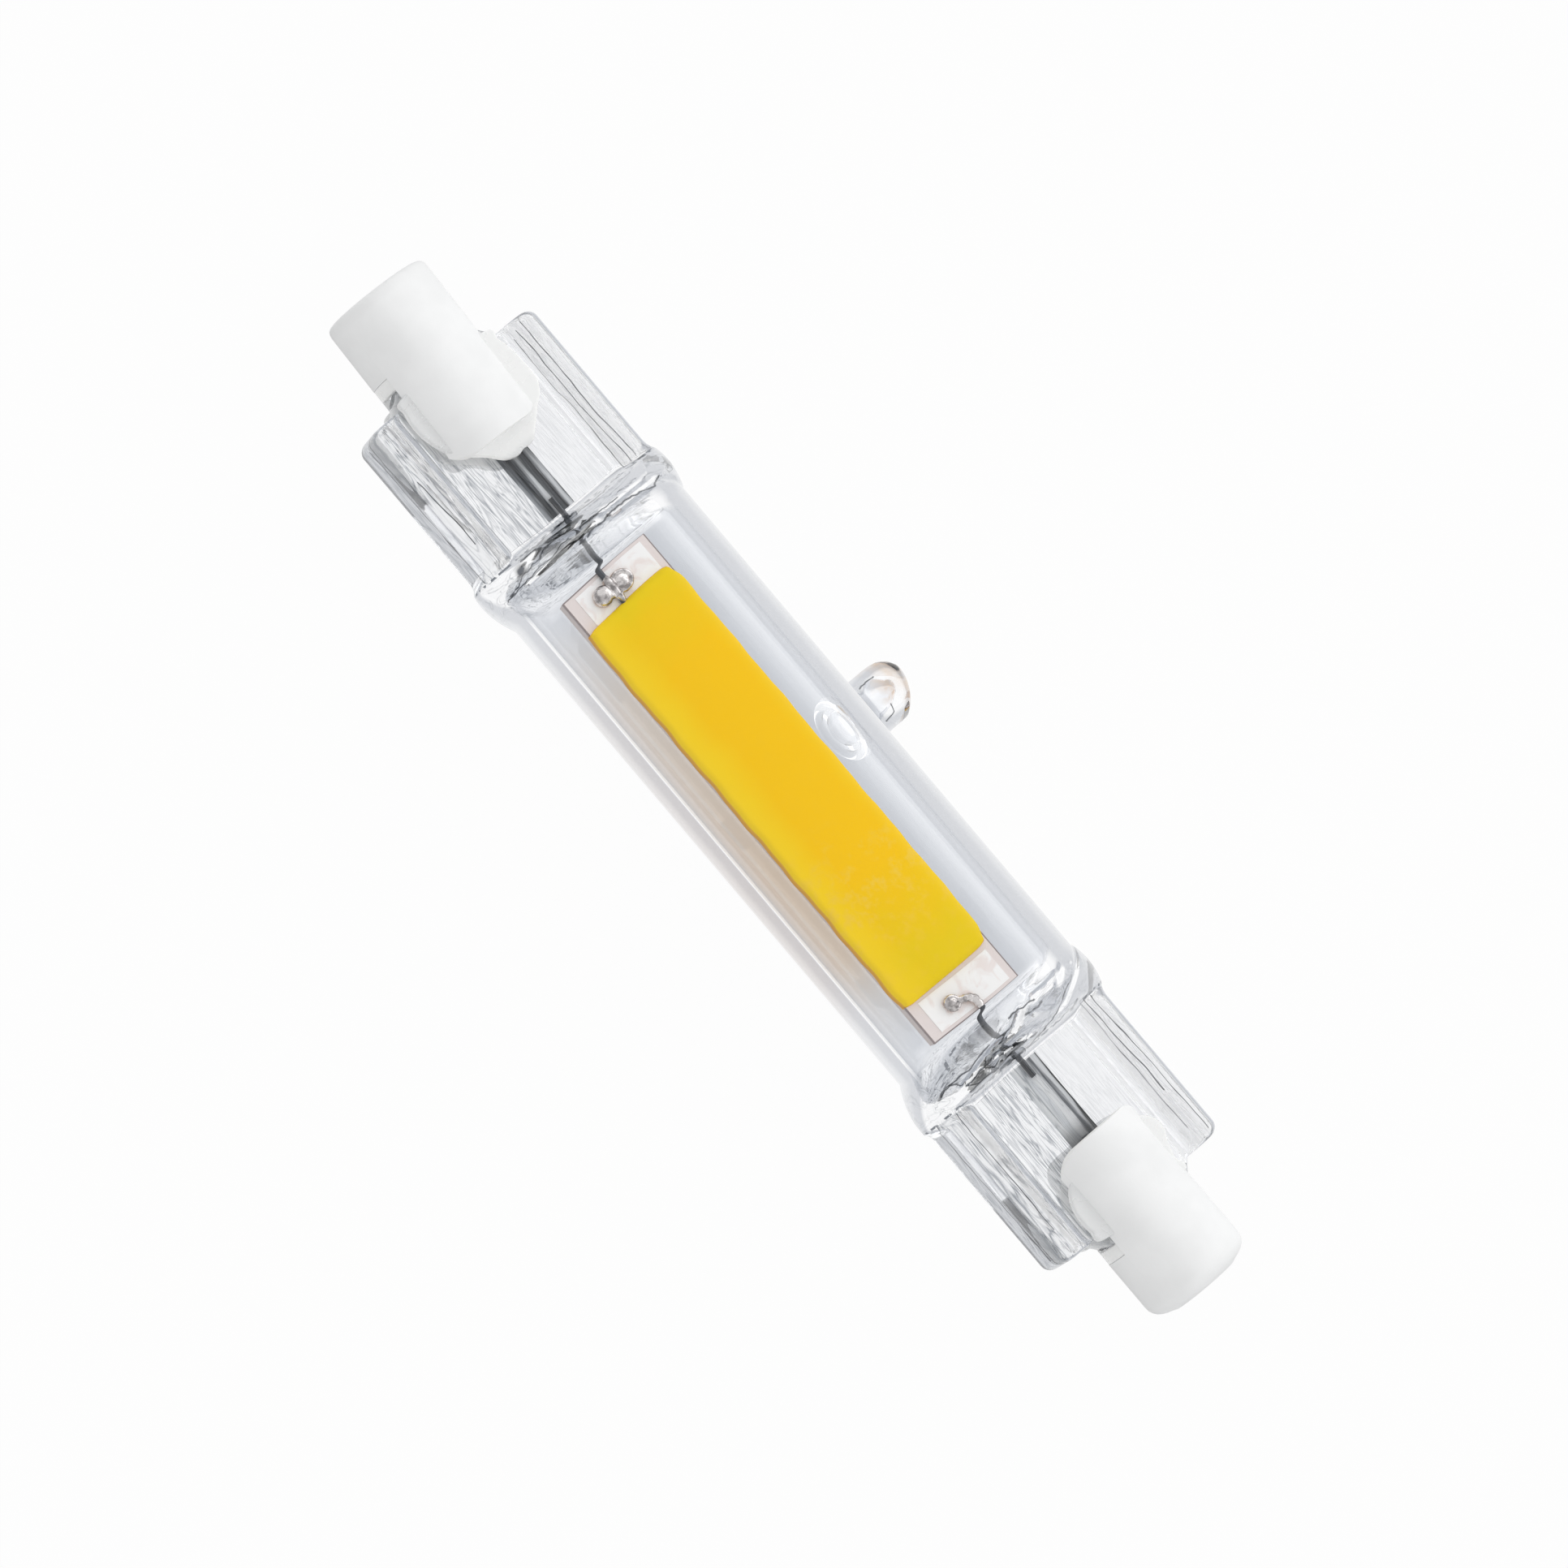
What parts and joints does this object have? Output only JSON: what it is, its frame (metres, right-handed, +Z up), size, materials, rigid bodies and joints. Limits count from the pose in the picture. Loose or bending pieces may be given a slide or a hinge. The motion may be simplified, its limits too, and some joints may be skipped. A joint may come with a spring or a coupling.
{
  "type": "double-ended linear led bulb",
  "caption": "Clear glass tube lamp with pressed seals, slotted ceramic caps with recessed contacts and a strip of LEDs under yellow phosphor.",
  "frame": {"origin": "under the middle of the lamp's box, on the surface that it lies on", "axes": "+X along the lamp, +Y towards the side of the exhaust tip, +Z up, with the LED strip facing up and rolled about 20 degrees towards +Y"},
  "size_m": [0.0784, 0.0174, 0.0134],
  "materials": {
    "clear_glass": "polished",
    "cap_ceramic": "matte",
    "clear_cement": "gloss",
    "contact_metal": "satin",
    "lead_metal": "satin",
    "foil_metal": "satin",
    "board_ceramic": "matte",
    "phosphor_silicone": "satin",
    "die_crystal": "gloss",
    "pad_metal": "satin",
    "solder": "gloss",
    "package_black": "matte",
    "resistor_ceramic": "satin"
  },
  "bodies": {
    "root": {"glass_envelope": "clear_glass", "ceramic_cap_left": "cap_ceramic", "ceramic_cap_right": "cap_ceramic", "cap_cement_left": "clear_cement", "cap_cement_right": "clear_cement", "contact_button_left": "contact_metal", "contact_button_right": "contact_metal", "outer_lead_left": "lead_metal", "outer_lead_right": "lead_metal", "seal_foil_left": "foil_metal", "seal_foil_right": "foil_metal", "inner_lead_left": "lead_metal", "inner_lead_right": "lead_metal", "cob_substrate": "board_ceramic", "phosphor_layer": "phosphor_silicone", "led_dies": "die_crystal", "solder_pad_left": "pad_metal", "solder_pad_right": "pad_metal", "solder_joint_left": "solder", "solder_joint_right": "solder", "bridge_rectifier": "package_black", "driver_ics": "package_black", "chip_resistors": "resistor_ceramic"}
  },
  "joints": []
}
